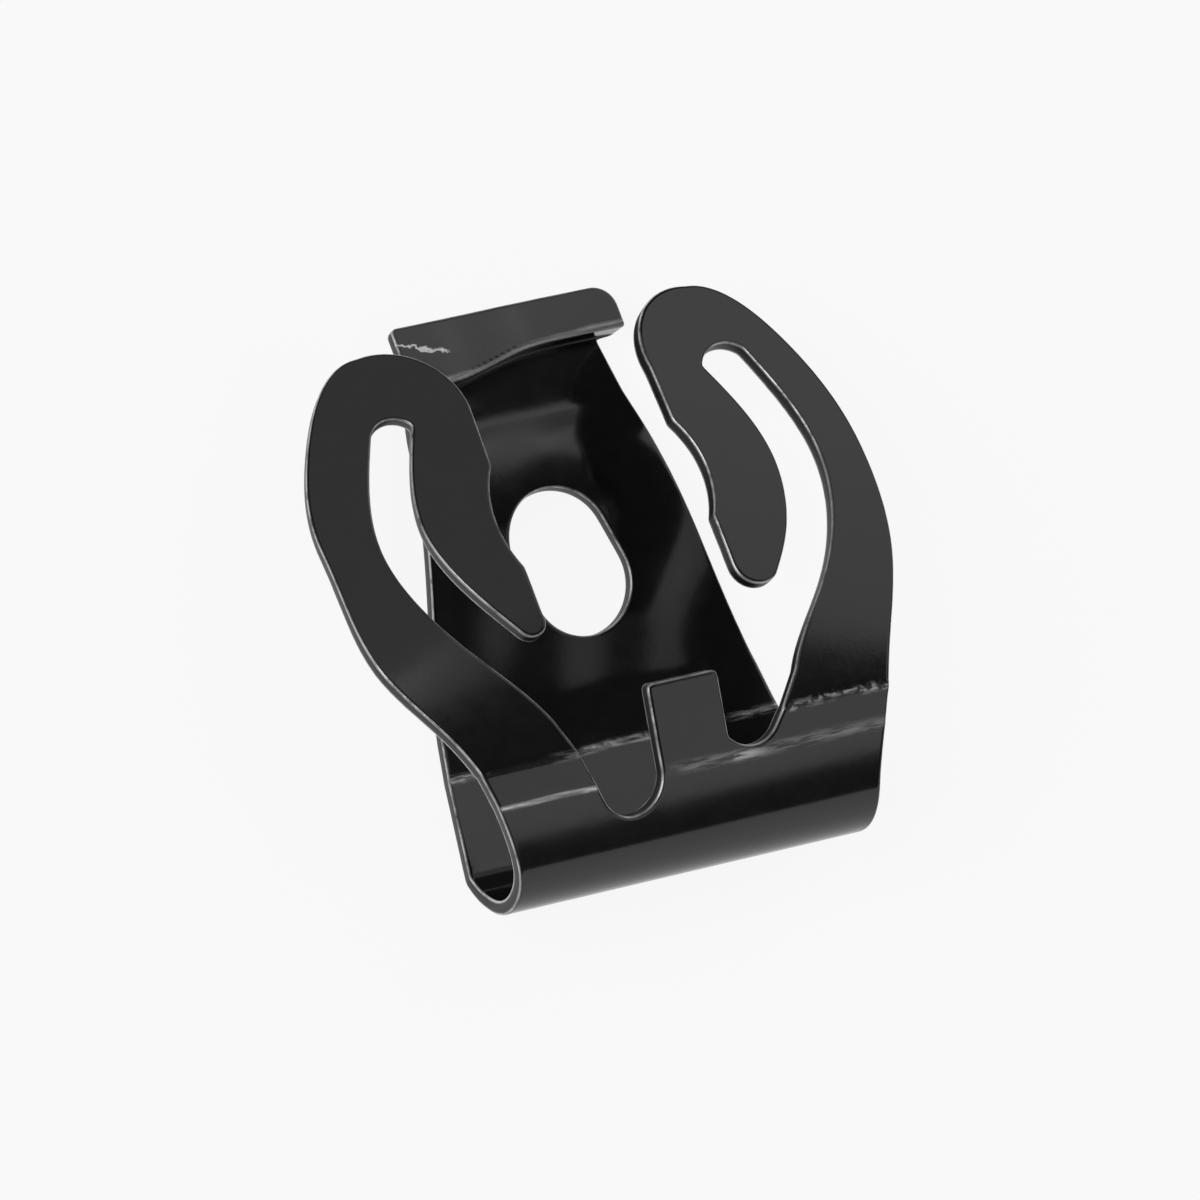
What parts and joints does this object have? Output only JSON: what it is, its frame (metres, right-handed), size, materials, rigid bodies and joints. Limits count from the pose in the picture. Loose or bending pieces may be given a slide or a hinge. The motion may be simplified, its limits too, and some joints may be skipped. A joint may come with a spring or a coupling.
{
  "type": "wiper arm clip",
  "caption": "Black spring-steel clip folded from one sheet: rolled end, slotted back plate with a stepped lip, short tab and curved spring arms with inward fingers.",
  "frame": {"origin": "on the rest plane, below the middle of the clip's overall box", "axes": "+X across the clip, +Y from the rolled end to the lip, +Z from the back plate to the arms"},
  "size_m": [0.0284, 0.0284, 0.0094],
  "materials": {
    "coated_steel": "gloss black coating on spring steel, worn bright along folds and sheared edges"
  },
  "bodies": {
    "root": {"spring_clip": "coated_steel"}
  },
  "joints": []
}
